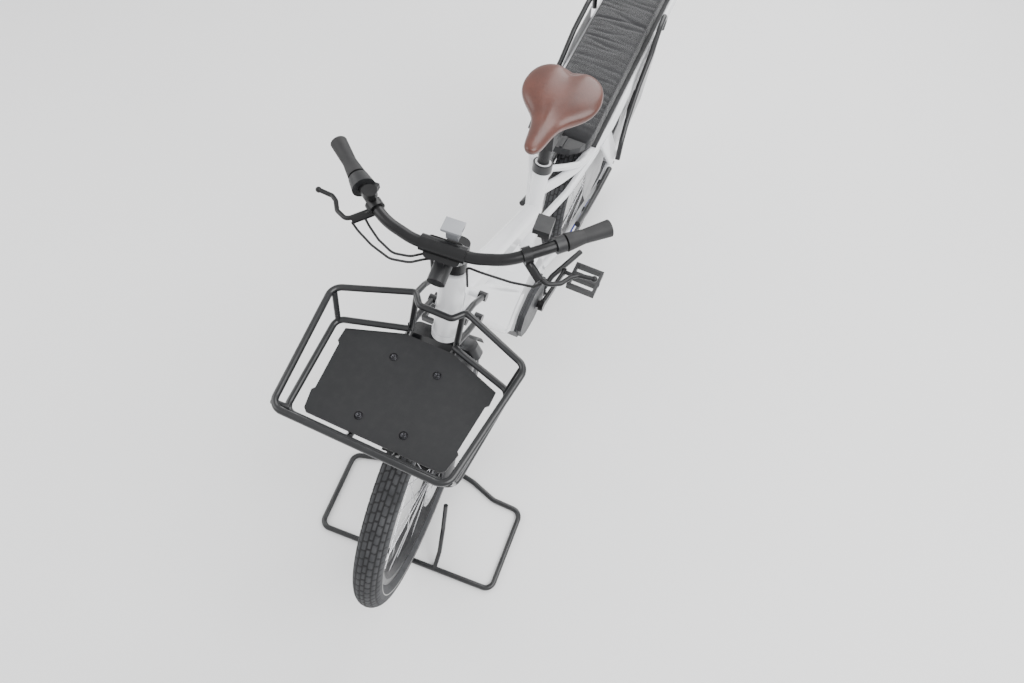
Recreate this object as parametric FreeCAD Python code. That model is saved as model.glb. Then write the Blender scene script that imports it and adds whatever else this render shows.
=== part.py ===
import FreeCAD, Part
import os, math

os.makedirs("parts", exist_ok=True)
V = FreeCAD.Vector

# ---------------------------------------------------------------- driving sizes (mm, X forward from the bottom bracket)
WHEEL_R = 360.0          # outer radius of both tyres
TYRE_W = 69.0            # tyre width
RIM_R = 299.0            # rim edge radius
RIM_IN = 272.0           # rim inner radius
RIM_W = 42.0
FRONT_X = 620.0          # front hub ahead of the bottom bracket
REAR_X = -600.0          # rear hub behind the bottom bracket
BB_Z = 313.0
HEAD_TOP = (379.0, 954.0)
HEAD_ANGLE = 71.0
HEAD_LEN = 178.0
HEAD_R = 28.0
STEERER_R = 19.0
STEER_REST = 5.5         # degrees the bars stand turned to the left at rest
LEG_Y = 66.0             # fork leg centre
LEG_R = 17.0
CRANK_LEN = 172.0
CRANK_ANGLE = 192.0      # left arm
AXLE_R = 6.0
FIT = 0.05               # running fit, radial
DISC_R = 90.0
SEAT_CLAMP = (-113.7, 787.0)
SEAT_FOOT = (-32.0, 450.0)
POST_R = 15.8
RAIL_Y = 94.0            # side rails of the long rear rack
RAIL_END = -990.0
RACK_SLOPE = 0.085       # the rack and its cushion rise a little to the rear
PAD_W = 163.0
PAD_T = 56.0
PAD_X0 = -1000.0
PAD_X1 = -252.0
STAND_TUBE = 8.0         # radius of the floor stand's tube

a = math.radians(HEAD_ANGLE)
UP = V(-math.cos(a), 0, math.sin(a))           # up the steering axis
HT = V(HEAD_TOP[0], 0, HEAD_TOP[1])
HB = HT - UP * HEAD_LEN


# ---------------------------------------------------------------- helpers
def cyl(p0, p1, r):
    d = p1 - p0
    return Part.makeCylinder(r, d.Length, p0, d)


def ring(p0, p1, ro, ri):
    d = p1 - p0
    e = d * (1.0 / d.Length)
    return Part.makeCylinder(ro, d.Length, p0, d).cut(Part.makeCylinder(ri, d.Length + 2, p0 - e, d))


def box(x0, x1, y0, y1, z0, z1):
    return Part.makeBox(x1 - x0, y1 - y0, z1 - z0, V(x0, y0, z0))


def fuse(shapes):
    s = shapes[0].multiFuse(shapes[1:]) if len(shapes) > 1 else shapes[0]
    try:
        s = s.removeSplitter()
    except Exception:
        pass
    return s


def solid_of(s):
    return s.Solids[0] if len(s.Solids) == 1 else s


def path(points, radius, closed=False):
    """Straight runs joined by tangent arcs."""
    pts = [V(*p) for p in points]
    n = len(pts)
    rad = radius if isinstance(radius, (list, tuple)) else [radius] * n
    corners = range(n) if closed else range(1, n - 1)
    cut = {}
    for i in corners:
        p, q, w = pts[(i - 1) % n], pts[i], pts[(i + 1) % n]
        u = (p - q).normalize()
        v = (w - q).normalize()
        ang = u.getAngle(v)
        if math.pi - ang < 1e-4:
            cut[i] = (q, q, None)
            continue
        t = rad[i] / math.tan(ang / 2)
        t = min(t, 0.48 * min((p - q).Length, (w - q).Length))
        r = t * math.tan(ang / 2)
        bis = (u + v).normalize()
        c = q + bis * (r / math.sin(ang / 2))
        cut[i] = (q + u * t, q + v * t, c - bis * r)
    edges = []
    if closed:
        order = list(range(n))
        for k, i in enumerate(order):
            j = order[(k + 1) % n]
            if cut[i][2] is not None:
                edges.append(Part.Arc(cut[i][0], cut[i][2], cut[i][1]).toShape())
            edges.append(Part.LineSegment(cut[i][1], cut[j][0]).toShape())
        return Part.Wire(edges)
    last = pts[0]
    for i in corners:
        if cut[i][2] is None:
            edges.append(Part.LineSegment(last, pts[i]).toShape())
            last = pts[i]
            continue
        edges.append(Part.LineSegment(last, cut[i][0]).toShape())
        edges.append(Part.Arc(cut[i][0], cut[i][2], cut[i][1]).toShape())
        last = cut[i][1]
    edges.append(Part.LineSegment(last, pts[-1]).toShape())
    return Part.Wire(edges)


def tube(points, r, bend=30.0, closed=False):
    w = path(points, bend, closed)
    e = w.Edges[0]
    p = e.valueAt(e.FirstParameter)
    if closed:
        e = w.Edges[1]
        p = e.valueAt(e.FirstParameter)
        edges = w.Edges[1:] + w.Edges[:1]
        w = Part.Wire(edges)
    d = e.tangentAt(e.FirstParameter)
    prof = Part.Wire(Part.makeCircle(r, p, d))
    s = w.makePipeShell([prof], True, False)
    want = math.pi * r * r * w.Length
    if not s.isValid() or abs(s.Volume - want) > 0.01 * want:
        print("tube check", round(s.Volume / want, 4), s.isValid())
    return s


def mirror(s):
    return s.mirror(V(0, 0, 0), V(0, 1, 0))


def rrect(w, h, r, origin, xdir, ydir):
    """Rounded rectangle wire, w along xdir and h along ydir."""
    r = min(r, w / 2 - 0.5, h / 2 - 0.5)
    def P(u, v):
        return origin + xdir * u + ydir * v
    k = r * (1 - math.sqrt(0.5))
    W, H = w / 2, h / 2
    e = []
    e.append(Part.LineSegment(P(-W + r, -H), P(W - r, -H)).toShape())
    e.append(Part.Arc(P(W - r, -H), P(W - k, -H + k), P(W, -H + r)).toShape())
    e.append(Part.LineSegment(P(W, -H + r), P(W, H - r)).toShape())
    e.append(Part.Arc(P(W, H - r), P(W - k, H - k), P(W - r, H)).toShape())
    e.append(Part.LineSegment(P(W - r, H), P(-W + r, H)).toShape())
    e.append(Part.Arc(P(-W + r, H), P(-W + k, H - k), P(-W, H - r)).toShape())
    e.append(Part.LineSegment(P(-W, H - r), P(-W, -H + r)).toShape())
    e.append(Part.Arc(P(-W, -H + r), P(-W + k, -H + k), P(-W + r, -H)).toShape())
    return Part.Wire(e)


def beam(p0, p1, s0, s1, rc=14.0):
    """Lofted beam in the XZ plane; s = (width in Y, depth across)."""
    p0, p1 = V(*p0), V(*p1)
    d = (p1 - p0).normalize()
    y = V(0, 1, 0)
    n = d.cross(y).normalize()
    return Part.makeLoft([rrect(s0[0], s0[1], rc, p0, y, n), rrect(s1[0], s1[1], rc, p1, y, n)], True, True)


def prism(pts, y0, y1):
    """Closed polygon in XZ pushed from y0 to y1."""
    w = Part.makePolygon([V(x, y0, z) for x, z in pts] + [V(pts[0][0], y0, pts[0][1])])
    return Part.Face(w).extrude(V(0, y1 - y0, 0))


def plate(pts, z0, z1):
    w = Part.makePolygon([V(x, y, z0) for x, y in pts] + [V(pts[0][0], pts[0][1], z0)])
    return Part.Face(w).extrude(V(0, 0, z1 - z0))


def revolve_y(profile, c):
    """Closed (radius, y) profile turned about the Y axis through c."""
    w = Part.makePolygon([V(c.x + r, c.y + y, c.z) for r, y in profile] + [V(c.x + profile[0][0], c.y + profile[0][1], c.z)])
    return Part.Face(w).revolve(c, V(0, 1, 0), 360)


def to_steer(s):
    t = s.copy()
    t.rotate(HT, UP, STEER_REST)
    return t


nodes = {}


def keep(name, s):
    nodes[name] = s


# ---------------------------------------------------------------- wheels
def wheel(prefix, c, steer):
    tf = to_steer if steer else (lambda s: s)
    r = TYRE_W / 2
    torus = Part.makeTorus(WHEEL_R - r, r, c, V(0, 1, 0))
    core = Part.makeCylinder(RIM_R, TYRE_W + 4, c - V(0, TYRE_W / 2 + 2, 0), V(0, 1, 0))
    keep(prefix + "_tyre", tf(torus.cut(core)))
    w = RIM_W / 2
    prof = [(RIM_R, -w), (RIM_R, -w + 4), (RIM_R - 10, -w + 5), (RIM_R - 12, w - 5), (RIM_R, w - 4), (RIM_R, w),
            (RIM_R - 15, w), (RIM_IN, w - 13), (RIM_IN, -w + 13), (RIM_R - 15, -w)]
    keep(prefix + "_rim", tf(revolve_y(prof, c)))
    fl = 29.0
    hr = 29.0
    hub = revolve_y([(AXLE_R + FIT, -48), (AXLE_R + FIT, 48), (20, 48), (20, fl + 4), (hr, fl + 2), (hr, fl - 2), (18, fl - 6),
                     (18, -fl + 6), (hr, -fl + 2), (hr, -fl - 2), (20, -fl - 4), (20, -48)], c)
    keep(prefix + "_hub", tf(hub))
    n = 9
    sp = []
    for side in (-1, 1):
        for k in range(n):
            for lead in (-1, 1):
                th = 2 * math.pi * (k + 0.25 * side) / n
                y0 = side * (fl + (3.4 if lead > 0 else -3.4))
                y1 = side * (9.0 if lead > 0 else 3.0)
                r0, r1 = hr - 0.5, RIM_IN - 0.3
                rot = lead * math.radians(62)
                p0 = c + V(r0 * math.cos(th + rot), y0, r0 * math.sin(th + rot))
                off = lead * math.radians(180.0 / n / 2)
                p1 = c + V(r1 * math.cos(th + off), y1, r1 * math.sin(th + off))
                sp.append(cyl(p0, p1, 1.1))
    keep(prefix + "_spokes", tf(Part.makeCompound(sp)))
    disc = revolve_y([(21.0, 40), (21.0, 42), (DISC_R, 42), (DISC_R, 40)], c)
    holes = []
    for ring_r, cnt, hr_ in ((82, 30, 2.6), (73, 24, 2.6), (36, 6, 8.0)):
        for k in range(cnt):
            t = 2 * math.pi * k / cnt
            holes.append(Part.makeCylinder(hr_, 6, c + V(ring_r * math.cos(t), 38, ring_r * math.sin(t)), V(0, 1, 0)))
    keep(prefix + "_disc", tf(disc.cut(Part.makeCompound(holes))))


FC = V(FRONT_X, 0, WHEEL_R)
RC = V(REAR_X, 0, WHEEL_R)
wheel("front", FC, True)
wheel("rear", RC, False)

# ---------------------------------------------------------------- frame
# head tube with bore for the steerer
head = cyl(HB, HT, HEAD_R).fuse(cyl(HB, HB + UP * 14, HEAD_R + 3)).fuse(cyl(HT - UP * 12, HT, HEAD_R + 2))
top_tube = beam((392, 0, 864), (-72, 0, 632), (52, 62), (46, 60))
down_tube = beam((366, 0, 842), (128, 0, 440), (52, 86), (104, 142), 22)
shroud_pts = [(-66, 395), (-50, 395), (40, 420), (110, 400), (140, 352), (188, 430), (200, 446), (150, 492), (60, 520), (-30, 520), (-66, 470)]
shroud = prism(shroud_pts, -50, 50)
FOOT = V(SEAT_FOOT[0], 0, SEAT_FOOT[1])
CLAMP = V(SEAT_CLAMP[0], 0, SEAT_CLAMP[1])
SD = (CLAMP - FOOT).normalize()
SEAT_L = (CLAMP - FOOT).Length
seat_tube = cyl(FOOT, CLAMP, 21.0)
bridge = box(-150, -55, -46, 46, 345, 372)
motor_pts = [(-54, 262), (-54, 394.9), (-50, 395), (40, 420), (110, 400), (140, 352), (128, 300), (85, 262), (20, 246)]



def pad_top(x):
    return 786.0 + RACK_SLOPE * (-300.0 - x)


def rail_z(x):
    return pad_top(x) - PAD_T - 21.0


stays = []
for s in (1, -1):
    y = s
    stays.append(tube([(-90, y * 40, 374), (-190, y * 58, 352), (-360, y * 66, 346), (-520, y * 80.5, 352), (REAR_X + 18, y * 80.5, 362)], 11.0, [0, 200, 200, 200, 0]))
    stays.append(tube([(-92, y * 8, 704), (-150, y * 38, 702), (-205, y * 62, 703), (-285, y * 80, 707), (-380, y * RAIL_Y, rail_z(-380)), (RAIL_END, y * RAIL_Y, rail_z(RAIL_END))], 13.0, [0, 60, 120, 160, 160, 0]))
    stays.append(tube([(-92, y * 6, 734), (-150, y * 12, 733), (-172, y * 44, 732), (-205, y * 70, 722), (-250, y * 76, 710)], 9.0, [0, 16, 22, 30, 0]))
    stays.append(tube([(-60, y * 8, 575), (-190, y * 56, 622), (-300, y * 82, 676), (-400, y * RAIL_Y, rail_z(-400))], 10.0, 110))
    stays.append(tube([(REAR_X - 30, y * RAIL_Y, rail_z(REAR_X - 30)), (REAR_X - 20, y * 84, 600), (REAR_X - 4, y * 80, 380)], 9.0, 80))
    stays.append(box(REAR_X - 30, REAR_X + 32, y * 80 - 4, y * 80 + 4, 335, 392))
    q0, q1 = V(-350, y * 92, 706), V(-374, y * 124, 612)
    dq = (q1 - q0).normalize()
    xq = V(1, 0, 0) - dq * dq.x
    xq.normalize()
    stays.append(Part.makeLoft([rrect(74, 15, 6, q0, xq, dq.cross(xq)), rrect(52, 12, 5, q1, xq, dq.cross(xq))], True, True))
    stays.append(cyl(V(362, y * 10, 868), V(362, y * 46, 868), 9))
    stays.append(cyl(V(384, y * 10, 812), V(384, y * 46, 812), 9))
for x in (-392, -860, -975):
    stays.append(cyl(V(x, -RAIL_Y, rail_z(x)), V(x, RAIL_Y, rail_z(x)), 8))
frame = fuse([head, top_tube, down_tube, shroud, seat_tube, bridge] + stays)
frame = frame.cut(cyl(HB - UP * 5, HT + UP * 5, STEERER_R + FIT))
frame = frame.cut(cyl(FOOT + SD * 110, FOOT + SD * (SEAT_L + 10), POST_R + 0.1))
frame = frame.cut(cyl(V(REAR_X, -120, WHEEL_R), V(REAR_X, 120, WHEEL_R), AXLE_R + FIT))
motor = prism(motor_pts, -58, 58).cut(cyl(V(0, -90, BB_Z), V(0, 90, BB_Z), 12.05))
frame = frame.cut(prism(motor_pts, -120, 120))
keep("frame", frame)

keep("motor", motor)
keep("motor_cover_left", prism([(-50, 268), (-50, 390), (38, 416), (108, 396), (134, 352), (122, 302), (82, 267), (22, 252)], 58, 70).cut(cyl(V(0, 40, BB_Z), V(0, 90, BB_Z), 12.05)))

keep("rear_axle", cyl(V(REAR_X, -92, WHEEL_R), V(REAR_X, 92, WHEEL_R), AXLE_R))

# headset cups and seat clamp
keep("seat_clamp", ring(FOOT + SD * (SEAT_L - 24), FOOT + SD * (SEAT_L - 1), 26.0, 21.0))

# seat post, suspension clamp and saddle
post1 = FOOT + SD * (SEAT_L + 70)
clamp_block = box(-190, -100, -24, 24, post1.z - 10, 899)
keep("seat_post", fuse([cyl(FOOT + SD * 120, post1, POST_R), clamp_block]))


def saddle_sections():
    secs = []
    for x, w, h, zt in ((-1, 20, 14, 930), (-16, 38, 24, 936), (-62, 54, 34, 938), (-104, 72, 38, 940),
                        (-132, 122, 42, 945), (-164, 190, 44, 951), (-205, 202, 46, 957), (-250, 184, 42, 961), (-274, 146, 26, 958)):
        secs.append(rrect(w, h, h * 0.45, V(x, 0, zt - h / 2), V(0, 1, 0), V(0, 0, 1)))
    return Part.makeLoft(secs, True, True)


keep("saddle", saddle_sections())

# ---------------------------------------------------------------- rear rack, cushion and side rails
pad = prism([(PAD_X0, pad_top(PAD_X0) - PAD_T), (PAD_X1, pad_top(PAD_X1) - PAD_T), (PAD_X1 + 6, pad_top(PAD_X1) - 34),
             (PAD_X1 - 10, pad_top(PAD_X1) - 4), (PAD_X1 - 40, pad_top(PAD_X1 - 40)), (PAD_X0, pad_top(PAD_X0))], -PAD_W / 2, PAD_W / 2)
keep("cushion", pad)
lo0 = PAD_T + 0.3
keep("rack_deck", prism([(PAD_X0 + 4, pad_top(PAD_X0) - PAD_T - 7.6), (PAD_X1 - 30, pad_top(PAD_X1 - 30) - PAD_T - 7.6),
                         (PAD_X1 - 30, pad_top(PAD_X1 - 30) - lo0), (PAD_X0 + 4, pad_top(PAD_X0 + 4) - lo0)], -90, 90))
# moulded nose ahead of the cushion, over the front bow of the rack
NX = PAD_X1 + 10
nose_p = [(NX, -70), (NX + 18, -62), (NX + 38, -40), (NX + 44, -16), (NX + 44, 16), (NX + 38, 40), (NX + 18, 62), (NX, 70)]
nose = plate(nose_p, 743, 764)
for yy in (-15, 15):
    nose = nose.fuse(box(NX + 2, NX + 42, yy - 4, yy + 4, 764, 769))
keep("rack_nose", nose)
side = []
panels = []
for s in (1, -1):
    y = s
    outer = tube([(-378, y * 138.6, 608), (-406, y * 133, 652), (-456, y * 126, 686), (-543, y * 120, 738), (-626, y * 118.5, 784), (-704, y * 112, 820), (-744, y * 110, 826), (-768, y * 110, 806), (-772, y * 108, 766)], 7.5, [0, 40, 60, 90, 90, 60, 20, 24, 0])
    inner = tube([(-470, y * 124, 660), (-490, y * 117.5, 700), (-530, y * 117.5, 730)], 6.0, 40)
    side.append(outer.fuse(inner))
    y0, y1 = sorted((y * 107.4, y * 109.6))
    panels.append(prism([(-392, 676), (-445, 690), (-530, 741), (-600, 774), (-740, 790), (-752, 700), (-700, 560), (-560, 520), (-440, 600)], y0, y1))
    y0, y1 = sorted((y * 78.0, y * 80.2))
    panels.append(prism([(-262, 640), (-300, 662), (-360, 686), (-462, 694), (-470, 560), (-455, 455), (-330, 440), (-285, 520)], y0, y1))
keep("side_rails", Part.makeCompound(side))
keep("side_panels", Part.makeCompound(panels))
# foot rails outside the chainstays, each on two brackets
feet = []
brks = []
for s in (1, -1):
    feet.append(tube([(-232, s * 92, 448), (-300, s * 92, 420), (-420, s * 92, 396), (-545, s * 92, 384)], 9.0, 120))
    for x, z in ((-322, 412), (-470, 388)):
        brks.append(box(x - 9, x + 9, *sorted((s * 78.0, s * 86.0)), 358, z + 4))
keep("foot_rails", Part.makeCompound([fuse([feet[0], brks[0], brks[1]]).cut(frame), fuse([feet[1], brks[2], brks[3]]).cut(frame)]))

# ---------------------------------------------------------------- crankset and pedals
def crank_arm(angle, s):
    t = math.radians(angle)
    e = V(CRANK_LEN * math.cos(t), 0, CRANK_LEN * math.sin(t))
    c = V(0, s * 84, BB_Z)
    arm = Part.makeLoft([rrect(34, 13, 6, c, V(-math.sin(t), 0, math.cos(t)), V(0, 1, 0)),
                         rrect(24, 12, 5.5, c + e + V(0, s * 9, 0), V(-math.sin(t), 0, math.cos(t)), V(0, 1, 0))], True, True)
    b0 = Part.makeCylinder(18, 14, c - V(0, 7, 0), V(0, 1, 0))
    b1 = Part.makeCylinder(13, 13, c + e + V(0, s * 9 - 6.5, 0), V(0, 1, 0))
    return arm.fuse(b0).fuse(b1), c + e + V(0, s * 9, 0)


armL, endL = crank_arm(CRANK_ANGLE, 1)
armR, endR = crank_arm(CRANK_ANGLE - 180, -1)
spindle = cyl(V(0, -84, BB_Z), V(0, 84, BB_Z), 12.0)
chainring = ring(V(0, -66.5, BB_Z), V(0, -63.5, BB_Z), 78.0, 58.0)
spider = [box(-62, 62, -66.5, -63.5, BB_Z - 7, BB_Z + 7), box(-7, 7, -66.5, -63.5, BB_Z - 62, BB_Z + 62)]
keep("crankset", fuse([spindle, armL, armR, chainring] + spider).cut(
    Part.makeCompound([cyl(endL - V(0, 20, 0), endL + V(0, 20, 0), 7.05), cyl(endR - V(0, 20, 0), endR + V(0, 20, 0), 7.05)])))


def pedal(end, s):
    c = end
    ax = cyl(V(c.x, c.y - 6.5, c.z), V(c.x, c.y + s * 122, c.z), 7.0) if s > 0 else cyl(V(c.x, c.y + 6.5, c.z), V(c.x, c.y - 122, c.z), 7.0)
    y0, y1 = sorted((c.y + s * 26, c.y + s * 120))
    cage = box(c.x - 47, c.x + 47, y0, y1, c.z - 12, c.z + 12)
    win = box(c.x - 38, c.x - 12, y0 + 10, y1 - 10, c.z - 20, c.z + 20)
    win2 = box(c.x + 12, c.x + 38, y0 + 10, y1 - 10, c.z - 20, c.z + 20)
    return cage.cut(win).cut(win2).fuse(ax).removeSplitter()


keep("pedal_left", pedal(endL, 1))
keep("pedal_right", pedal(endR, -1))

# ---------------------------------------------------------------- chain: one fixed loop round both sprockets, clear of them
SPR_Y = -65.0
sprocket_r = 44.0
ring_r = 78.0


def belt(r0, c0, r1, c1, y0, y1):
    d = math.hypot(c1[0] - c0[0], c1[1] - c0[1])
    base = math.atan2(c1[1] - c0[1], c1[0] - c0[0])
    ph = math.acos((r0 - r1) / d)
    pts = []
    def P(c, r, t):
        return V(c[0] + r * math.cos(t), y0, c[1] + r * math.sin(t))
    A, B = P(c0, r0, base + ph), P(c1, r1, base + ph)
    Cc, D = P(c1, r1, base - ph), P(c0, r0, base - ph)
    e = [Part.LineSegment(A, B).toShape(), Part.Arc(B, P(c1, r1, base), Cc).toShape(),
         Part.LineSegment(Cc, D).toShape(), Part.Arc(D, P(c0, r0, base + math.pi), A).toShape()]
    return Part.Face(Part.Wire(e)).extrude(V(0, y1 - y0, 0))


c0, c1 = (0.0, BB_Z), (REAR_X, WHEEL_R)
outer = belt(ring_r + 10, c0, sprocket_r + 10, c1, SPR_Y - 4, SPR_Y + 4)
inner = belt(ring_r + 1.0, c0, sprocket_r + 1.0, c1, SPR_Y - 5, SPR_Y + 5)
keep("chain", outer.cut(inner))
keep("rear_sprocket", ring(V(REAR_X, SPR_Y - 1.5, WHEEL_R), V(REAR_X, SPR_Y + 1.5, WHEEL_R), sprocket_r, AXLE_R + FIT).fuse(
    ring(V(REAR_X, SPR_Y + 1.5, WHEEL_R), V(REAR_X, -48, WHEEL_R), 19, AXLE_R + FIT)))

# ---------------------------------------------------------------- steering group, built straight and then turned
hub_off = FC
crown_c = HB - UP * 20
crown = Part.makeLoft([rrect(178, 44, 14, V(HB.x + 4, 0, HB.z - 6) - UP * 22, V(0, 1, 0), V(math.sin(a), 0, math.cos(a))),
                       rrect(150, 40, 14, V(HB.x + 4, 0, HB.z - 6) - UP * 1, V(0, 1, 0), V(math.sin(a), 0, math.cos(a)))], True, True)
off = V(math.sin(a), 0, math.cos(a)) * 34.0
legs = []
for s in (1, -1):
    p1 = V(FC.x, s * LEG_Y, FC.z)
    ptop = p1 + UP * 440
    legs.append(cyl(p1 - UP * 14, ptop, LEG_R))
    legs.append(cyl(V(FC.x, s * LEG_Y - 12, FC.z), V(FC.x, s * LEG_Y + 12, FC.z), 20))
steerer = cyl(HB - UP * 22, HT + UP * 60, STEERER_R)
fork = fuse([crown, steerer] + legs)
fork = fork.cut(cyl(V(FC.x, -120, FC.z), V(FC.x, 120, FC.z), AXLE_R + FIT))
keep("fork", to_steer(fork))
keep("front_axle", to_steer(cyl(V(FC.x, -96, FC.z), V(FC.x, 96, FC.z), AXLE_R)))

# stem, bar and grips
BC = V(430.0, 0, 1092.0)
stem = fuse([ring(HT + UP * 4, HT + UP * 66, 24, STEERER_R), cyl(HT + UP * 62, HT + UP * 68, 24),
             beam(((HT + UP * 46).x + 10, 0, (HT + UP * 46).z + 4), (BC.x + 4, 0, BC.z), (44, 40), (70, 44), 9)])
stem = stem.cut(cyl(HT - UP * 5, HT + UP * 60.001, STEERER_R))
GE = V(290.0, 268.0, 1114.0)
PK = V(374.0, 176.0, 1112.0)
bar_pts = [(BC.x, 0, BC.z), (BC.x + 2, 58, BC.z + 3), (418, 118, 1103), (PK.x, PK.y, PK.z), (GE.x, GE.y, GE.z)]
full = [(x, -y, z) for x, y, z in reversed(bar_pts[1:])] + bar_pts[1:]
bar = tube(full, 11.1, 110)
bar = bar.fuse(cyl(V(BC.x, -44, BC.z + 1), V(BC.x, 44, BC.z + 1), 15.9))
keep("stem", to_steer(stem.cut(bar)))
keep("handlebar", to_steer(bar))
grips = []
for s in (1, -1):
    p1 = V(GE.x, s * GE.y, GE.z)
    p0 = V(PK.x, s * PK.y, PK.z)
    d = (p1 - p0).normalize()
    g = Part.makeCone(16.5, 13.6, 52, p1, d * -1).fuse(Part.makeCone(13.6, 17.5, 36, p1 - d * 52, d * -1))
    grips.append(g.cut(cyl(p1 - d * 96, p1 + d * 4, 11.1)))
keep("grips", to_steer(Part.makeCompound(grips)))
disp = fuse([box(385, 415, -12, 26, 1121, 1127), box(390, 410, -4, 20, 1098, 1121)]).cut(bar).cut(stem)
keep("display", to_steer(solid_of(disp)))
light = fuse([cyl(V(424, -4, 1034), V(464, -4, 1026), 18), box(428, 440, -10, 2, 1036, 1076)]).cut(stem).cut(bar)
keep("headlight", to_steer(light))
# shifter and remote beside the grips, bell, brake levers
ctl = []
lev = []
for s in (1, -1):
    p1 = V(GE.x, s * GE.y, GE.z)
    p0 = V(PK.x, s * PK.y, PK.z)
    d = (p1 - p0).normalize()
    k0 = p1 - d * 89
    if s < 0:
        body = Part.makeCone(23, 19, 26, k0 - d * 30, d).cut(cyl(k0 - d * 40, k0 + d * 4, 11.1))
        w = Part.makePolygon([V(352, -150, 1104), V(368, -146, 1104), V(384, -160, 1104), V(372, -176, 1104), V(356, -176, 1104), V(352, -150, 1104)])
        paddle = Part.Face(w).extrude(V(0, 0, 6)).cut(cyl(p0 - d * 60, p1, 11.3))
        ctl.append(solid_of(body.fuse(box(350, 372, -176, -158, 1100, 1112)).cut(cyl(p0 - d * 60, p1, 11.1)).cut(bar).removeSplitter()))
    else:
        body = ring(k0 - d * 20, k0 - d * 2, 16, 11.1)
        rem = box(318, 356, 140, 172, 1118, 1130)
        ctl.append(solid_of(fuse([body, rem, box(334, 352, 150, 172, 1106, 1120)]).cut(cyl(p0 - d * 80, p1, 11.1)).cut(bar)))
    c0 = V(398, s * 146, 1108)
    e = (V(PK.x, s * PK.y, PK.z) - V(418, s * 118, 1103)).normalize()
    cl = ring(c0 - e * 8, c0 + e * 8, 16, 11.15)
    arm = tube([(404, s * 150, 1099), (418, s * 170, 1088), (426, s * 196, 1081), (414, s * 218, 1079), (393, s * 231, 1078), (385, s * 242, 1078), (381, s * 272, 1077)], 4.6, [0, 20, 14, 12, 10, 10, 0])
    mc = cyl(V(398, s * 146, 1094), V(426, s * 182, 1084), 8.5)
    lev.append(solid_of(fuse([cl, mc, arm, Part.makeSphere(6, V(381, s * 272, 1077))]).cut(bar)))
keep("bar_controls", to_steer(Part.makeCompound(ctl)))
keep("brake_levers", to_steer(Part.makeCompound(lev)))
keep("bar_bell", to_steer(fuse([cyl(V(392, -156, 1127), V(392, -156, 1140), 14), cyl(V(392, -156, 1124.6), V(392, -156, 1128), 5)])))
# brake hoses and control cables, from the levers round in front of the head tube
hoses = [tube([(424, -184, 1072), (424, -176, 1052), (440, -142, 1044), (456, -98, 1044), (452, -60, 1047), (432, -34, 1046), (412, -31, 1020), (418, -34, 950)], 2.4, [0, 14, 30, 34, 26, 16, 14, 0]),
         tube([(410, -163, 1075), (410, -158, 1056), (428, -132, 1050), (446, -96, 1050), (442, -62, 1052), (424, -40, 1050), (404, -38, 1020), (404, -38, 950)], 2.4, [0, 12, 28, 32, 24, 14, 14, 0]),
         tube([(424, 184, 1072), (424, 172, 1056), (426, 130, 1050), (424, 70, 1046), (412, 38, 1030), (404, 37, 950)], 2.4, [0, 12, 30, 40, 20, 0])]
keep("bar_cables", to_steer(Part.makeCompound(hoses)))

# front mudguard, following the tyre from under the crown to the rear
def guard(c, r0, r1, half, a0, a1):
    prof = Part.makePolygon([V(c.x + r0, -half, c.z), V(c.x + r0, half, c.z), V(c.x + r1, half - 2, c.z), V(c.x + r1, -half + 2, c.z), V(c.x + r0, -half, c.z)])
    f = Part.Face(prof)
    f.rotate(c, V(0, -1, 0), a0)
    return f.revolve(c, V(0, -1, 0), a1 - a0)


keep("front_mudguard", to_steer(guard(FC, 367, 370, 38, 76, 165)))

# ---------------------------------------------------------------- front basket on the head tube
UZ, LZ = 921.0, 860.0
up = [(774.7, 180, UZ), (503, 213.6, UZ), (442, 57, UZ), (467, 36, UZ), (467, -36, UZ), (442, -57, UZ), (503, -213.6, UZ), (774.7, -180, UZ)]
upper = tube(up, 7.0, [26, 26, 11, 14, 14, 11, 26, 26], True)
lo = [(494, 52, LZ - 2), (538, 196, LZ), (756, 180, LZ), (756, -180, LZ), (538, -196, LZ), (494, -52, LZ - 2)]
lower = tube(lo, 7.0, 22)
posts = []
for s in (1, -1):
    posts.append(cyl(V(511, s * 205, UZ - 2), V(542, s * 190, LZ), 6))
    posts.append(cyl(V(765, s * 181, UZ), V(748, s * 178, LZ), 6))
    posts.append(tube([(448, s * 52, UZ), (468, s * 52, 880), (488, s * 52, 842), (520, s * 50, 835), (742, s * 50, 835), (757, s * 50, 857)], 6.5, [0, 14, 14, 14, 8, 0]))
    posts.append(tube([(446, s * 56, UZ), (410, s * 56, 905), (362, s * 56, 868)], 6.5, 30))
    posts.append(tube([(484, s * 53, 858), (440, s * 56, 838), (384, s * 56, 812)], 6.5, 30))
    posts.append(cyl(V(362, s * 46, 868), V(362, s * 64, 868), 10))
    posts.append(cyl(V(384, s * 46, 812), V(384, s * 64, 812), 10))
basket = fuse([upper, lower] + posts)
tray_pts = [(506, -54), (506, 54), (547, 171), (578, 171), (584, 165), (688, 156), (694, 161), (733, 153), (740, 145), (740, -145), (733, -153), (694, -161), (688, -156), (584, -165), (578, -171), (547, -171)]
TZ = 850.0
tray = plate(tray_pts, TZ, TZ + 4.7)
BOLTS = [(564, 49), (564, -49), (704, 49), (704, -49)]
pads = [cyl(V(x, y, 834), V(x, y, TZ), 9) for x, y in BOLTS]
basket = fuse([basket] + pads).cut(Part.makeCompound([Part.makeCylinder(3.2, 60, V(x, y, 815), V(0, 0, 1)) for x, y in BOLTS]))
keep("basket", basket)
tray = tray.cut(Part.makeCompound([Part.makeCylinder(3.2, 30, V(x, y, TZ - 10), V(0, 0, 1)) for x, y in BOLTS]))
keep("tray", tray)

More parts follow.
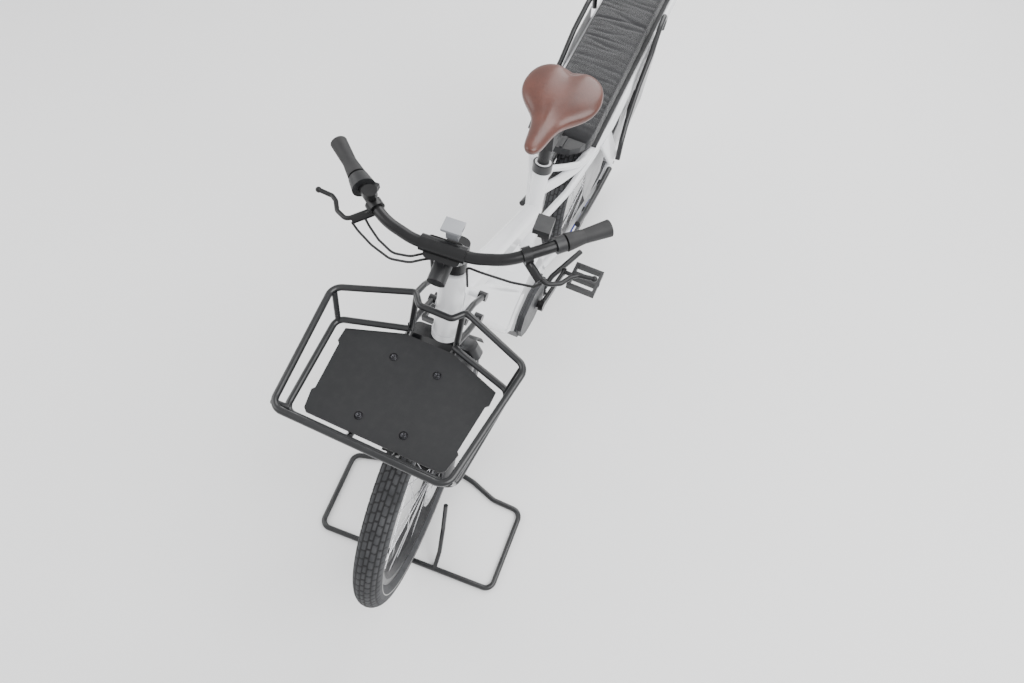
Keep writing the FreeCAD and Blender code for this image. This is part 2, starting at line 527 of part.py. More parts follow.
# ---------------------------------------------------------------- centre stand, folded up under the stays
ST = V(-105, 0, 215)
legsS = []
for s in (1, -1):
    legsS.append(tube([(ST.x, s * 46, ST.z), (ST.x - 70, s * 54, ST.z), (ST.x - 205, s * 104, ST.z)], 9.0, 60))
    legsS.append(cyl(V(ST.x, s * 26, ST.z), V(ST.x, s * 60, ST.z), 11.0))
legsS.append(cyl(V(ST.x - 45, -50, ST.z), V(ST.x - 45, 50, ST.z), 8.0))
stand = fuse(legsS).cut(cyl(V(ST.x, -90, ST.z), V(ST.x, 90, ST.z), 5.05))
keep("centre_stand", stand)
brk = fuse([box(-122, -88, -24, 24, 236, 345), box(-118, -92, -24, -10, 203, 240), box(-118, -92, 10, 24, 203, 240)])
keep("stand_bracket", brk.cut(cyl(V(ST.x, -80, ST.z), V(ST.x, 80, ST.z), 5.0)))
keep("stand_pin", cyl(V(ST.x, -64, ST.z), V(ST.x, 64, ST.z), 5.0))

# ---------------------------------------------------------------- floor stand that holds the front wheel
zf = STAND_TUBE
loop = tube([(774, 276, zf), (815, -265, zf), (583, -287, zf), (548, -174, zf), (508, -92, zf), (492, 0, zf), (506, 92, zf), (531, 172, zf), (530, 264, zf)],
            STAND_TUBE, [26, 26, 26, 60, 80, 90, 80, 60, 26], True)
ups = [tube([(788, 100, zf), (745, 98, 50), (690, 86, 112), (646, 76, 190)], 6.5, 40),
       tube([(803, -100, zf), (745, -98, 50), (690, -86, 112), (646, -76, 190)], 6.5, 40)]
keep("floor_stand", fuse([loop] + ups))

# ---------------------------------------------------------------- place: middle of the whole at X = Y = 0
bb = None
for s in nodes.values():
    b = s.optimalBoundingBox(False, False)
    bb = b if bb is None else bb.united(b)
shift = V(-(bb.XMin + bb.XMax) / 2, -(bb.YMin + bb.YMax) / 2, 0.0)
print("SHIFT", shift.x, shift.y, shift.z)
print("SIZE", bb.XLength, bb.YLength, bb.ZLength, "ZMIN", bb.ZMin)
for name, s in nodes.items():
    s = s.copy()
    s.translate(shift)
    ok = s.isValid()
    print("%-16s solids %3d valid %s vol %.0f" % (name, len(s.Solids), ok, s.Volume))
    s.exportStep("parts/" + name + ".step")

P = FreeCAD.Placement(V(0, 0, 0), FreeCAD.Rotation(UP, STEER_REST), HT)
for label, p in (("head", HB), ("front_hub", FC), ("rear_hub", RC), ("bb", V(0, 0, BB_Z)), ("pedal_left", endL), ("pedal_right", endR), ("stand", ST)):
    q = P.multVec(p) if label == "front_hub" else p
    q = q + shift
    print("POINT", label, round(q.x, 3), round(q.y, 3), round(q.z, 3))
ax = FreeCAD.Rotation(UP, STEER_REST).multVec(V(0, 1, 0))
print("AXIS front_wheel", ax.x, ax.y, ax.z)
print("AXIS steer", UP.x, UP.y, UP.z)
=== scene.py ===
import math
import bpy
import bmesh
import numpy as np
from mathutils import Matrix, Vector


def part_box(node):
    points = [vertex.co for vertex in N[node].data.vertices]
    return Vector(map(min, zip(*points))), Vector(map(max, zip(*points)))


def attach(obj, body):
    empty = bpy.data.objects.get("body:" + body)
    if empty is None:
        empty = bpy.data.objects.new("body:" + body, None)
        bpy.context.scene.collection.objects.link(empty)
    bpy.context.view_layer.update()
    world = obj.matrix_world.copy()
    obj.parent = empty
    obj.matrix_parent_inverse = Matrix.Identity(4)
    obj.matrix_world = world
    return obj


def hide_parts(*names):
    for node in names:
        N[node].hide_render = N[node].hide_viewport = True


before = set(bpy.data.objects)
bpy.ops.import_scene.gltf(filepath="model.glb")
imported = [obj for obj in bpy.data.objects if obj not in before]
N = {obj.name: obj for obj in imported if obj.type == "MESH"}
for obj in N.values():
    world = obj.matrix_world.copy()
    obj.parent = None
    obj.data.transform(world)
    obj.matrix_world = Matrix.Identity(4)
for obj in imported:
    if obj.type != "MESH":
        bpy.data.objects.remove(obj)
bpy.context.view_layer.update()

_lo, _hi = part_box("rear_axle")
SX = (_lo.x + _hi.x) / 2 + 0.600       # bottom bracket's X in the row frame
SY = (_lo.y + _hi.y) / 2
S = Vector((SX, SY, 0))

# ------------------------------------------------------------------ steering helpers
HA = math.radians(71.0)
UP = Vector((-math.cos(HA), 0, math.sin(HA)))
HT = Vector((0.379, 0, 0.954)) + S
HB = HT - UP * 0.178
STEER = Matrix.Translation(HT) @ Matrix.Rotation(math.radians(5.5), 4, UP) @ Matrix.Translation(-HT)
FC = Vector((0.620, 0, 0.360)) + S
RC = Vector((-0.600, 0, 0.360)) + S
BC = Vector((0.430, 0, 1.092)) + S
BB = Vector((0, 0, 0.313)) + S


# ------------------------------------------------------------------ materials
def new_mat(name):
    m = bpy.data.materials.new(name)
    m.use_nodes = True
    nt = m.node_tree
    nt.nodes.clear()
    out = nt.nodes.new("ShaderNodeOutputMaterial")
    b = nt.nodes.new("ShaderNodeBsdfPrincipled")
    nt.links.new(b.outputs[0], out.inputs[0])
    return m, nt, b


def node(nt, kind, **kw):
    n = nt.nodes.new(kind)
    for k, v in kw.items():
        if k in n.inputs:
            n.inputs[k].default_value = v
        else:
            setattr(n, k, v)
    return n


def mixcol(nt, fac, a, b, blend="MIX"):
    n = nt.nodes.new("ShaderNodeMix")
    n.data_type = "RGBA"
    n.blend_type = blend
    for sock, v in ((n.inputs["Factor"], fac), (n.inputs[6], a), (n.inputs[7], b)):
        if isinstance(v, (tuple, list)):
            sock.default_value = (*v[:3], 1)
        elif isinstance(v, (int, float)):
            sock.default_value = v
        else:
            nt.links.new(v, sock)
    return n.outputs[2]


def ramp(nt, src, stops):
    n = nt.nodes.new("ShaderNodeValToRGB")
    el = n.color_ramp.elements
    while len(el) < len(stops):
        el.new(0.5)
    for e, (p, c) in zip(el, stops):
        e.position = p
        e.color = (*c[:3], 1) if isinstance(c, (tuple, list)) else (c, c, c, 1)
    nt.links.new(src, n.inputs[0])
    return n.outputs[0]


def bump(nt, b, height, strength, dist=0.001, prev=None):
    n = nt.nodes.new("ShaderNodeBump")
    n.inputs["Strength"].default_value = strength
    n.inputs["Distance"].default_value = dist
    nt.links.new(height, n.inputs["Height"])
    if prev is not None:
        nt.links.new(prev.outputs[0], n.inputs["Normal"])
    nt.links.new(n.outputs[0], b.inputs["Normal"])
    return n


def coords(nt, scale=(1, 1, 1)):
    t = nt.nodes.new("ShaderNodeTexCoord")
    mp = nt.nodes.new("ShaderNodeMapping")
    mp.inputs["Scale"].default_value = scale
    nt.links.new(t.outputs["Object"], mp.inputs[0])
    return mp.outputs[0]


def noise(nt, vec, scale, detail=4, rough=0.55):
    n = node(nt, "ShaderNodeTexNoise", Scale=scale, Detail=detail, Roughness=rough)
    nt.links.new(vec, n.inputs["Vector"])
    return n.outputs[0]


def surface(name, base, rough, metal=0.0, var=0.06, var_scale=9.0, grain=600.0, grain_strength=0.08, coat=0.0, rough_var=0.08,
            dust=0.0, stretch=(1, 1, 1), sheen=0.0, spec=0.5):
    """Base colour with slow variation, dust on upward faces, fine grain in the bump, and uneven gloss."""
    m, nt, b = new_mat(name)
    v = coords(nt, stretch)
    slow = noise(nt, v, var_scale, 3)
    dark = [max(0, c * (1 - 2.2 * var)) for c in base]
    light = [min(1, c * (1 + 1.4 * var) + 0.4 * var * 0.1) for c in base]
    col = mixcol(nt, ramp(nt, slow, ((0.3, 0.0), (0.7, 1.0))), dark, light)
    if dust > 0:
        g = nt.nodes.new("ShaderNodeNewGeometry")
        sep = nt.nodes.new("ShaderNodeSeparateXYZ")
        nt.links.new(g.outputs["Normal"], sep.inputs[0])
        fine = noise(nt, v, 55, 5)
        mul = nt.nodes.new("ShaderNodeMath"); mul.operation = "MULTIPLY"
        nt.links.new(ramp(nt, sep.outputs[2], ((0.5, 0.0), (1.0, 1.0))), mul.inputs[0])
        nt.links.new(ramp(nt, fine, ((0.45, 0.0), (0.8, dust))), mul.inputs[1])
        col = mixcol(nt, mul.outputs[0], col, (0.55, 0.53, 0.5))
    nt.links.new(col, b.inputs["Base Color"])
    r = nt.nodes.new("ShaderNodeMapRange")
    r.inputs["To Min"].default_value = max(0.02, rough - rough_var)
    r.inputs["To Max"].default_value = min(1, rough + rough_var)
    nt.links.new(noise(nt, v, 34, 4), r.inputs[0])
    nt.links.new(r.outputs[0], b.inputs["Roughness"])
    b.inputs["Metallic"].default_value = metal
    b.inputs["Specular IOR Level"].default_value = spec
    if coat:
        b.inputs["Coat Weight"].default_value = coat
        b.inputs["Coat Roughness"].default_value = 0.05
    if sheen:
        b.inputs["Sheen Weight"].default_value = sheen
        b.inputs["Sheen Roughness"].default_value = 0.5
    bump(nt, b, noise(nt, v, grain, 3), grain_strength, 0.0006)
    return m


M = {}
M["paint"] = surface("white_paint", (0.83, 0.84, 0.86), 0.22, var=0.012, var_scale=5, grain=260, grain_strength=0.035, coat=0.8, rough_var=0.05, dust=0.05)
M["black_paint"] = surface("black_powder_coat", (0.009, 0.0095, 0.011), 0.30, var=0.07, grain=1400, grain_strength=0.10, coat=0.25, dust=0.015)
M["alloy_black"] = surface("anodised_black", (0.009, 0.009, 0.010), 0.30, metal=0.3, var=0.07, grain=900, grain_strength=0.05, dust=0.01)
M["plastic"] = surface("moulded_plastic", (0.011, 0.0115, 0.013), 0.44, var=0.07, grain=1500, grain_strength=0.2, dust=0.02)
M["motor"] = surface("motor_cover", (0.026, 0.027, 0.030), 0.42, var=0.07, grain=1100, grain_strength=0.2, dust=0.02)
M["grip"] = surface("grip_rubber", (0.012, 0.012, 0.013), 0.6, var=0.08, grain=700, grain_strength=0.4, dust=0.02)
M["steel"] = surface("brushed_steel", (0.58, 0.58, 0.6), 0.28, metal=1.0, var=0.07, grain=420, grain_strength=0.10, stretch=(1, 6, 1))
M["chrome"] = surface("spoke_steel", (0.72, 0.72, 0.74), 0.16, metal=1.0, var=0.05, grain=700, grain_strength=0.05)
M["chain"] = surface("oiled_chain", (0.22, 0.21, 0.2), 0.34, metal=0.9, var=0.25, grain=300, grain_strength=0.4)
M["rim"] = surface("rim_black", (0.022, 0.022, 0.024), 0.32, metal=0.3, var=0.12, grain=1000, grain_strength=0.05, dust=0.08)
M["tray"] = surface("tray_board", (0.012, 0.0125, 0.014), 0.55, var=0.05, var_scale=5, grain=520, grain_strength=0.30, dust=0.008, spec=0.4)
M["bolt"] = surface("bolt_heads", (0.05, 0.05, 0.055), 0.25, metal=0.9, var=0.05, grain=600, grain_strength=0.05)
M["grey"] = surface("grey_cover", (0.30, 0.31, 0.32), 0.42, var=0.03, grain=1200, grain_strength=0.10, dust=0.01)
M["skirt"] = surface("pale_skirt", (0.46, 0.465, 0.47), 0.48, var=0.03, grain=900, grain_strength=0.08, dust=0.01)
M["blue"] = surface("blue_stripe", (0.06, 0.075, 0.36), 0.25, var=0.03, grain=300, grain_strength=0.03, coat=0.6)
M["screen"] = surface("display_glass", (0.30, 0.31, 0.33), 0.12, var=0.03, grain=60, grain_strength=0.01, coat=1.0)


def fabric(name, base, pitch=1300.0, strength=0.5, sheen=0.25):
    m, nt, b = new_mat(name)
    v = coords(nt)
    w1 = node(nt, "ShaderNodeTexWave", Scale=pitch, Distortion=0.6, Detail=1.0)
    w1.bands_direction = "X"
    w2 = node(nt, "ShaderNodeTexWave", Scale=pitch, Distortion=0.6, Detail=1.0)
    w2.bands_direction = "Y"
    nt.links.new(v, w1.inputs["Vector"]); nt.links.new(v, w2.inputs["Vector"])
    mul = nt.nodes.new("ShaderNodeMath"); mul.operation = "MAXIMUM"
    nt.links.new(w1.outputs["Fac"], mul.inputs[0]); nt.links.new(w2.outputs["Fac"], mul.inputs[1])
    slow = noise(nt, v, 16, 5)
    col = mixcol(nt, ramp(nt, slow, ((0.3, 0.0), (0.75, 1.0))), [c * 0.72 for c in base], [min(1, c * 1.25) for c in base])
    # painted shade: the gaps between the weave threads are darkened
    col = mixcol(nt, ramp(nt, mul.outputs[0], ((0.2, 0.55), (0.9, 0.0))), col, [c * 0.45 for c in base])
    nt.links.new(col, b.inputs["Base Color"])
    b.inputs["Roughness"].default_value = 0.78
    b.inputs["Sheen Weight"].default_value = sheen
    b.inputs["Sheen Roughness"].default_value = 0.4
    p = bump(nt, b, noise(nt, v, 70, 4), 0.25, 0.002)
    bump(nt, b, mul.outputs[0], strength, 0.0005, p)
    return m


def leather(name, base):
    m, nt, b = new_mat(name)
    v = coords(nt)
    vor = node(nt, "ShaderNodeTexVoronoi", Scale=520.0)
    vor.feature = "DISTANCE_TO_EDGE"
    nt.links.new(v, vor.inputs["Vector"])
    slow = noise(nt, v, 14, 5)
    col = mixcol(nt, ramp(nt, slow, ((0.3, 0.0), (0.72, 1.0))), [c * 0.72 for c in base], [min(1, c * 1.3) for c in base])
    # painted shade: the creases of the grain are darkened
    col = mixcol(nt, ramp(nt, vor.outputs["Distance"], ((0.0, 0.6), (0.16, 0.0))), col, [c * 0.4 for c in base])
    nt.links.new(col, b.inputs["Base Color"])
    r = nt.nodes.new("ShaderNodeMapRange")
    r.inputs["To Min"].default_value = 0.24
    r.inputs["To Max"].default_value = 0.42
    nt.links.new(noise(nt, v, 26, 4), r.inputs[0])
    nt.links.new(r.outputs[0], b.inputs["Roughness"])
    b.inputs["Coat Weight"].default_value = 0.25
    b.inputs["Coat Roughness"].default_value = 0.22
    p = bump(nt, b, vor.outputs["Distance"], 0.35, 0.0006)
    bump(nt, b, noise(nt, v, 60, 4), 0.12, 0.002, p)
    return m


def tyre_mat():
    """Rubber, greyer on the tread than in the grooves, which are darkened as painted shade; a thin pale reflective
    line on the sidewall.
    """
    m, nt, b = new_mat("tyre_rubber")
    v = coords(nt)
    at = nt.nodes.new("ShaderNodeAttribute"); at.attribute_name = "across"
    dp = nt.nodes.new("ShaderNodeAttribute"); dp.attribute_name = "groove"
    slow = noise(nt, v, 22, 5)
    col = mixcol(nt, ramp(nt, slow, ((0.3, 0.0), (0.7, 1.0))), (0.030, 0.031, 0.034), (0.062, 0.063, 0.067))
    # painted shade: the grooves are darkened towards black
    col = mixcol(nt, dp.outputs["Fac"], col, (0.012, 0.012, 0.013))
    line = ramp(nt, at.outputs["Fac"], ((0.0, 0.0), (0.700, 0.0), (0.706, 1.0), (0.726, 1.0), (0.732, 0.0)))
    col = mixcol(nt, line, col, (0.42, 0.42, 0.41))
    nt.links.new(col, b.inputs["Base Color"])
    b.inputs["Roughness"].default_value = 0.72
    b.inputs["Specular IOR Level"].default_value = 0.35
    p = bump(nt, b, noise(nt, v, 900, 3), 0.25, 0.0005)
    bump(nt, b, noise(nt, v, 120, 3), 0.15, 0.001, p)
    return m


M["cushion"] = fabric("cushion_cloth", (0.020, 0.0205, 0.023), 900, 0.6)
M["panel_cloth"] = fabric("panel_cloth", (0.42, 0.42, 0.43), 1200, 0.4)
M["leather"] = leather("brown_leather", (0.105, 0.034, 0.023))
M["tyre"] = tyre_mat()

RULES = [("tyre", "tyre"), ("rim", "rim"), ("spokes", "chrome"), ("disc", "steel"), ("hub", "alloy_black"), ("axle", "steel"), ("sprocket", "chain"),
         ("chain", "chain"), ("frame", "paint"), ("cushion", "cushion"), ("panel", "panel_cloth"), ("saddle", "leather"), ("grips", "grip"),
         ("mudguard", "plastic"), ("guard", "plastic"), ("headlight", "plastic"), ("display", "screen"), ("pedal", "plastic"), ("motor", "motor"),
         ("seat_post", "alloy_black"), ("stem", "alloy_black"), ("handlebar", "alloy_black"), ("crankset", "alloy_black"), ("cable", "grip"), ("hose", "grip"),
         ("tray", "tray"), ("nose", "plastic"), ("controls", "plastic"), ("levers", "alloy_black"), ("bell", "alloy_black"), ("deck", "plastic"), ("basket", "black_paint"), ("stand", "black_paint"), ("rails", "black_paint")]


def slot_name(n):
    return n


for name, o in N.items():
    mat = M["black_paint"]
    for k, v in RULES:
        if k in name:
            mat = M[v]
            break
    if not o.material_slots:
        o.data.materials.append(mat)
    for sl in o.material_slots:
        sl.material = mat


# ------------------------------------------------------------------ mesh helpers
def mesh_obj(name, verts, faces, mat, body, smooth=True):
    me = bpy.data.meshes.new(name)
    me.from_pydata([tuple(v) for v in verts], [], faces)
    me.update()
    if smooth:
        me.polygons.foreach_set("use_smooth", [True] * len(me.polygons))
    me.materials.append(mat)
    o = bpy.data.objects.new(name, me)
    bpy.context.scene.collection.objects.link(o)
    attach(o, body)
    return o


def sweep(name, pts, r, mat, body, n=8, rad=None):
    """Round section carried along a line of points."""
    P = [Vector(p) for p in pts]
    verts, faces = [], []
    up = Vector((0.13, 0.21, 1)).normalized()
    for i, p in enumerate(P):
        a = P[max(0, i - 1)]
        b = P[min(len(P) - 1, i + 1)]
        d = (b - a).normalized()
        u = (up - d * up.dot(d)).normalized()
        v = d.cross(u)
        up = u
        rr = r if rad is None else rad[i]
        for k in range(n):
            t = 2 * math.pi * k / n
            verts.append(p + u * (rr * math.cos(t)) + v * (rr * math.sin(t)))
    for i in range(len(P) - 1):
        for k in range(n):
            j = (k + 1) % n
            faces.append((i * n + k, i * n + j, (i + 1) * n + j, (i + 1) * n + k))
    faces.append(tuple(range(n - 1, -1, -1)))
    faces.append(tuple((len(P) - 1) * n + k for k in range(n)))
    return mesh_obj(name, verts, faces, mat, body, True)


def lathe(name, prof, origin, axis, mat, body, n=40):
    """(radius, height) profile turned about an axis."""
    o = Vector(origin)
    w = Vector(axis).normalized()
    u = w.orthogonal().normalized()
    v = w.cross(u)
    verts, faces = [], []
    for r, h in prof:
        for k in range(n):
            t = 2 * math.pi * k / n
            verts.append(o + w * h + u * (r * math.cos(t)) + v * (r * math.sin(t)))
    for i in range(len(prof) - 1):
        for k in range(n):
            j = (k + 1) % n
            faces.append((i * n + k, i * n + j, (i + 1) * n + j, (i + 1) * n + k))
    faces.append(tuple(range(n - 1, -1, -1)))
    faces.append(tuple((len(prof) - 1) * n + k for k in range(n)))
    return mesh_obj(name, verts, faces, mat, body, True)


def tyre(name, c, body, steer, cad):
    """Balloon tyre: D-shaped section with ribs and curved cross grooves cut 2 mm deep."""
    R, r = 0.360, 0.0345
    nu, nseg = 96, 10
    U = nu * nseg
    ang = [-141, -128, -115, -102, -90, -80, -72, -66, -61, -57.5, -56, -50, -44, -38, -35, -33, -27, -20, -13, -10.5, -8.5, -4,
           0, 4, 8.5, 10.5, 13, 20, 27, 33, 35, 38, 44, 50, 56, 57.5, 61, 66, 72, 80, 90, 102, 115, 128, 141]
    V_ = len(ang)
    verts = np.zeros((U, V_, 3)); groove = np.zeros((U, V_)); across = np.zeros((U, V_))
    for j, av in enumerate(ang):
        t = math.radians(av)
        aa = abs(av)
        for i in range(U):
            g = 0.0
            if aa <= 57.5:
                if 8.5 <= aa <= 10.5 or 33 <= aa <= 35 or aa >= 56:
                    g = 1.0
                ph = (i / nseg + (0.25 if aa > 10 else 0.0) + 0.5 * (aa > 34) * (1 if av > 0 else 0.6) + 0.0065 * aa) % 1.0
                if aa > 3 and ph < 0.17:
                    g = 1.0
                if aa <= 9 and ph < 0.10:
                    g = 1.0
            elif aa <= 72:
                ph = (i / nseg + 0.0065 * 57 + 0.5) % 1.0
                g = 0.6 if ph < 0.2 else 0.0
            d = 0.0021 * g
            rr = r - d - (0.0006 if aa > 74 else 0.0)
            th = 2 * math.pi * i / U
            rad = R - r + rr * math.cos(t)
            verts[i, j] = (c.x + rad * math.cos(th), c.y + rr * math.sin(t), c.z + rad * math.sin(th))
            groove[i, j] = g
            across[i, j] = aa / 141.0
    faces = []
    for i in range(U):
        k = (i + 1) % U
        for j in range(V_ - 1):
            faces.append((i * V_ + j, i * V_ + j + 1, k * V_ + j + 1, k * V_ + j))
    P = verts.reshape(-1, 3)
    if steer:
        mm = np.array(STEER)
        P = P @ mm[:3, :3].T + mm[:3, 3]
    o = mesh_obj(name, P.tolist(), faces, M["tyre"], body, True)
    for nm, arr in (("groove", groove), ("across", across)):
        a = o.data.attributes.new(nm, "FLOAT", "POINT")
        a.data.foreach_set("value", arr.reshape(-1).tolist())
    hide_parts(cad)
    return o


tyre("front_tyre_tread", FC, "front_wheel", True, "front_tyre")
tyre("rear_tyre_tread", RC, "rear_wheel", False, "rear_tyre")


def loft_rings(name, rings, mat, body, subdiv=2, close_ends=True):
    n = len(rings[0])
    verts = [p for r in rings for p in r]
    faces = []
    for k in range(len(rings) - 1):
        for i in range(n):
            j = (i + 1) % n
            faces.append((k * n + i, k * n + j, (k + 1) * n + j, (k + 1) * n + i))
    if close_ends:
        faces.append(tuple(range(n - 1, -1, -1)))
        faces.append(tuple((len(rings) - 1) * n + i for i in range(n)))
    o = mesh_obj(name, verts, faces, mat, body, True)
    if subdiv:
        md = o.modifiers.new("sub", "SUBSURF")
        md.levels = subdiv
        md.render_levels = subdiv
    return o


# saddle: narrow nose, flared rear with two lobes and a soft ridge between them
def saddle():
    rings = []
    # x, half width, top, depth, spine dip, lobe rise
    prof = [(0.0005, 0.007, 0.9335, 0.012), (-0.004, 0.013, 0.9360, 0.020), (-0.012, 0.0185, 0.9380, 0.028), (-0.030, 0.0235, 0.9395, 0.036),
            (-0.060, 0.0275, 0.9405, 0.040), (-0.090, 0.0335, 0.9415, 0.042), (-0.110, 0.042, 0.9430, 0.046), (-0.128, 0.058, 0.9455, 0.050),
            (-0.146, 0.078, 0.9490, 0.052), (-0.166, 0.0935, 0.9530, 0.052), (-0.190, 0.1005, 0.9570, 0.050), (-0.215, 0.0995, 0.9600, 0.048),
            (-0.238, 0.0930, 0.9615, 0.044), (-0.256, 0.0810, 0.9610, 0.038), (-0.267, 0.0640, 0.9590, 0.030), (-0.273, 0.0480, 0.9565, 0.022)]
    for x, w, zt, h in prof:
        u = max(0.0, (-x - 0.09) / 0.18)
        ring = []
        K = 40
        for k in range(K):
            a = 2 * math.pi * k / K
            cy, sy = math.cos(a), math.sin(a)
            n = 2.0 + 0.7 * min(1.0, u * 2)
            y = w * math.copysign(abs(cy) ** (2 / n), cy)
            if sy >= 0:
                z = zt - h * 0.42 + h * 0.42 * sy ** (2 / n)
                z -= 0.0085 * min(1, u) * math.exp(-(y / 0.020) ** 2)
                z += 0.0026 * math.exp(-(y / 0.0035) ** 2) * (1 if 0.10 < -x < 0.25 else 0.0)
                z -= 0.004 * min(1, u) * (abs(y) / 0.1) ** 3
            else:
                z = zt - h * 0.42 + h * 0.58 * sy
            xo = 0.016 * max(0.0, (u - 0.72) / 0.28) * math.exp(-(y / 0.026) ** 2)
            ring.append((SX + x + xo, SY + y, z))
        rings.append(ring)
    o = loft_rings("saddle_cover", rings, M["leather"], "main_frame", 2)
    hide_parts("saddle")
    return o


saddle()


# rear cushion: crowned pad with cross wrinkles and a stitched edge
def pad_top(x):
    return 0.786 + 0.085 * (-0.300 - (x - SX))


def cushion():
    lo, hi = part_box("cushion")
    nx, ns = 300, 56
    x0, x1 = lo.x + 0.002, hi.x - 0.002
    yc, W0 = (lo.y + hi.y) / 2, (hi.y - lo.y) / 2 - 0.0005
    T = 0.056
    rng = np.random.default_rng(11)
    xs = np.linspace(x0, x1, nx)
    wr_pos = []
    p = x0 + 0.012
    while p < x1 - 0.015:
        wr_pos.append((p, rng.uniform(0.45, 1.0), rng.uniform(-0.010, 0.014), rng.uniform(0.0035, 0.0075), rng.uniform(0, 6.28), rng.uniform(0.5, 1.5)))
        p += rng.uniform(0.013, 0.024)
    verts = []

    def P(i, s):
        """s from 0 to 1 round the section: lower left, side, top, side, lower right."""
        x = xs[i]
        e0 = min(1.0, (x - x0) / 0.014)
        e1 = min(1.0, (x1 - x) / 0.040)
        c0 = math.sqrt(max(0.0, 1 - (1 - e0) ** 2))
        c1 = math.sqrt(max(0.0, 1 - (1 - e1) ** 2))
        W = W0 - 0.004 * (1 - c0) - 0.020 * (1 - c1)
        top = pad_top(x) - 0.0006
        base = top - T + 0.0006
        height = T * (0.62 + 0.38 * c0) * (0.50 + 0.50 * c1)
        q = s * 4.0
        if q < 1.0:                       # left side going up
            y, z = -1.0, q
        elif q < 3.0:
            y, z = q - 2.0, 1.0
        else:
            y, z = 1.0, 4.0 - q
        # round the edges
        rr = 0.24
        ay, az = abs(y), z
        yy, zz = y, z
        if q >= 1.0 and q <= 3.0 and ay > 1 - rr:
            t = (ay - (1 - rr)) / rr
            zz = 1.0 - 0.16 * (1 - math.sqrt(max(0.0, 1 - (t * 0.94) ** 2)))
            yy = math.copysign((1 - rr) + rr * (t - 0.10 * t * t), y)
        if q < 1.0 or q > 3.0:
            zz = z * (1.0 - 0.16 * (1 - math.sqrt(1 - 0.94 ** 2)))
            yy = math.copysign(0.976 + 0.024 * math.sin(math.pi * min(1.0, z)), y)
        crown = (1 - yy * yy)
        side = 1.0 if 1.0 <= q <= 3.0 else max(0.0, z - 0.25) / 0.75
        w = 0.0
        for px, am, sk, wd, ph, fr in wr_pos:
            d = x - (px + sk * yy + 0.003 * math.sin(ph + fr * 3 * yy))
            if abs(d) < 0.03:
                w += am * math.exp(-(d / wd) ** 2) * (0.55 + 0.45 * math.sin(ph + 2.2 * fr * yy))
        zz_abs = base + height * zz - 0.0035 * (1 - crown) * side - 0.0036 * w * side
        y_abs = yc + W * yy - math.copysign(0.0016 * w, yy) * (1 - side if 1.0 <= q <= 3.0 else 0.8)
        if abs(yy) > 0.93:
            y_abs -= math.copysign(0.0011 * w, yy)
        return (x, y_abs, max(zz_abs, base))
    for i in range(nx):
        for k in range(ns):
            verts.append(P(i, k / (ns - 1)))
    faces = []
    for i in range(nx - 1):
        for k in range(ns - 1):
            faces.append((i * ns + k, (i + 1) * ns + k, (i + 1) * ns + k + 1, i * ns + k + 1))
        faces.append((i * ns + ns - 1, (i + 1) * ns + ns - 1, (i + 1) * ns, i * ns))
    faces.append(tuple(range(ns)))
    faces.append(tuple((nx - 1) * ns + k for k in range(ns - 1, -1, -1)))
    o = mesh_obj("rear_cushion", verts, faces, M["cushion"], "main_frame", True)
    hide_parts("cushion")
    # piping along both upper edges
    for sgn in (-1, 1):
        pts = []
        for i in range(4, nx - 14, 3):
            x = xs[i]
            pts.append((x, yc + sgn * (W0 - 0.0042), pad_top(x) - 0.0075))
        sweep("cushion_piping_%s" % ("l" if sgn > 0 else "r"), pts, 0.0021, M["cushion"], "main_frame")



cushion()

# ------------------------------------------------------------------ small visible things
def bbp(x, y, z):
    return Vector((x / 1000.0, y / 1000.0, z / 1000.0)) + S


# bolt heads on the tray
for bx, by in ((564, 49), (564, -49), (704, 49), (704, -49)):
    lathe("tray_bolt_%d_%d" % (bx, by), [(0.0085, 0.0), (0.0085, 0.0012), (0.0062, 0.0014), (0.0060, 0.0040), (0.0050, 0.0048), (0.0028, 0.0048), (0.0026, 0.0026)],
          bbp(bx, by, 854.7), (0, 0, 1), M["bolt"], "main_frame", 28)

# a direction UPD and a helper for an oval raised disc; neither is used to build anything here
UPD = Vector((-0.42, 0, 0.907))


def oval(name, c, n, xdir, a, b, h, mat, dome=0.0):
    n = Vector(n).normalized()
    xd = (Vector(xdir) - n * Vector(xdir).dot(n)).normalized()
    yd = n.cross(xd)
    verts, faces = [], []
    K, Rr = 48, 7
    for j in range(Rr + 1):
        f = j / Rr
        rad = 1.0 - f if j else 1.0
        hh = h + dome * (1 - rad ** 2)
        for k in range(K):
            t = 2 * math.pi * k / K
            verts.append(c + xd * (a * rad * math.cos(t)) + yd * (b * rad * math.sin(t)) + n * hh)
    base = len(verts)
    for k in range(K):
        t = 2 * math.pi * k / K
        verts.append(c + xd * (a * math.cos(t)) + yd * (b * math.sin(t)) - n * 0.004)
    for j in range(Rr):
        for k in range(K):
            q = (k + 1) % K
            faces.append((j * K + k, j * K + q, (j + 1) * K + q, (j + 1) * K + k))
    for k in range(K):
        q = (k + 1) % K
        faces.append((base + k, base + q, q, k))
    return mesh_obj(name, verts, faces, mat, "main_frame", True)


# blue stripe on the left and right chainstays
for sgn in (1, -1):
    pts = [bbp(x, sgn * (66 + (-x - 230) * 0.052), 346 + 12.2) for x in range(-235, -425, -12)]
    sweep("stay_stripe_%s" % ("l" if sgn > 0 else "r"), pts, 0.0030, M["blue"], "main_frame", 8)
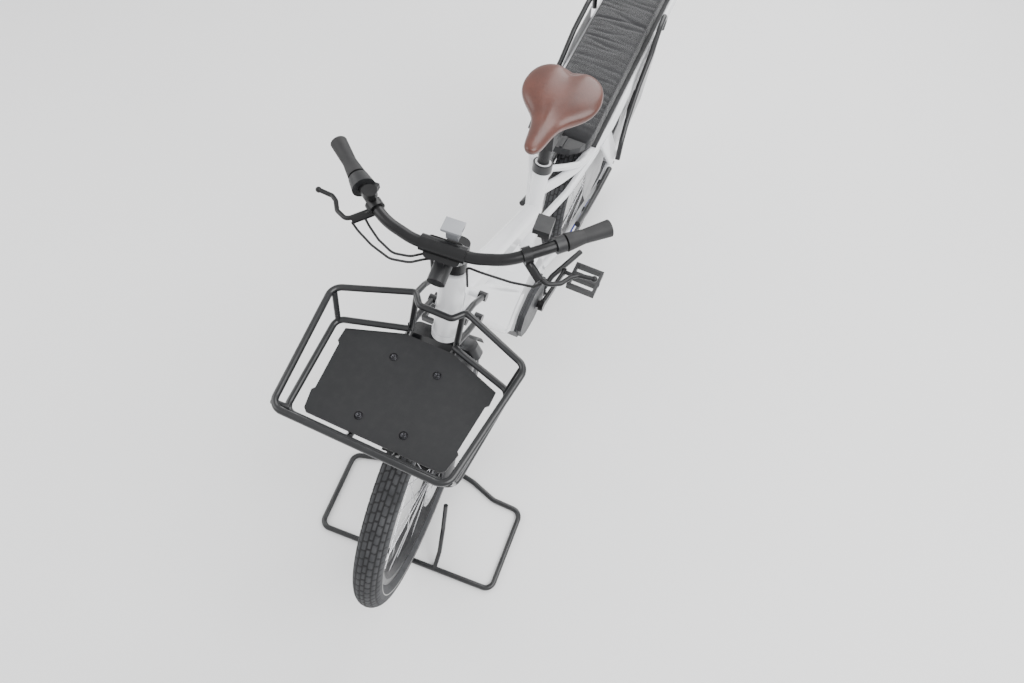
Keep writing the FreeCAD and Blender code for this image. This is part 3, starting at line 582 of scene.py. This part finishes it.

# reflector in the rear wheel
rr = RC + Vector((math.cos(0.2) * 0.17, 0.012, math.sin(0.2) * 0.17))
oval_r = lathe("rear_reflector", [(0.010, -0.003), (0.0125, -0.0015), (0.0125, 0.0015), (0.010, 0.003)], rr, (0, 1, 0), M["plastic"], "rear_wheel", 28)

# ------------------------------------------------------------------ camera, floor and light
Rm = [[-0.40894425, 0.91171473, 0.03925366], [0.79591955, 0.37738641, -0.47338311], [-0.44640415, -0.16234454, -0.87998158]]
C = Vector((1.05819, 0.38198, 2.09580)) + S
cam_data = bpy.data.cameras.new("camera")
cam_data.lens = 24.0
cam_data.sensor_width = 36.0
cam_data.dof.use_dof = False
cam = bpy.data.objects.new("camera", cam_data)
bpy.context.scene.collection.objects.link(cam)
right, down, fwd = (Vector(r) for r in Rm)
m3 = Matrix((right, -down, -fwd)).transposed()
cam.matrix_world = Matrix.Translation(C) @ m3.to_4x4()
bpy.context.scene.camera = cam

bpy.ops.mesh.primitive_plane_add(size=30, location=(0, 0, -0.0005))
floor = bpy.context.object
floor.name = "floor"
fm = surface("floor_white", (0.93, 0.932, 0.936), 0.55, var=0.008, var_scale=0.8, grain=90, grain_strength=0.01, spec=0.3)
floor.data.materials.append(fm)

world = bpy.data.worlds.new("studio")
bpy.context.scene.world = world
world.use_nodes = True
bg = world.node_tree.nodes["Background"]
bg.inputs[0].default_value = (1.0, 1.0, 1.0, 1)
bg.inputs[1].default_value = 1.0


def area(name, loc, target, size, power):
    d = bpy.data.lights.new(name, "AREA")
    d.shape = "RECTANGLE"
    d.size, d.size_y = size
    d.energy = power
    o = bpy.data.objects.new(name, d)
    bpy.context.scene.collection.objects.link(o)
    o.location = loc
    o.rotation_euler = (Vector(target) - Vector(loc)).to_track_quat("-Z", "Y").to_euler()
    return o


area("key", (0.6, 2.4, 3.6), (0, 0, 0.5), (3.0, 3.0), 150)
area("fill", (1.2, -3.0, 2.8), (0, 0, 0.5), (3.0, 2.5), 60)
area("back", (-3.0, 0.4, 3.4), (0, 0, 0.5), (2.5, 3.5), 110)
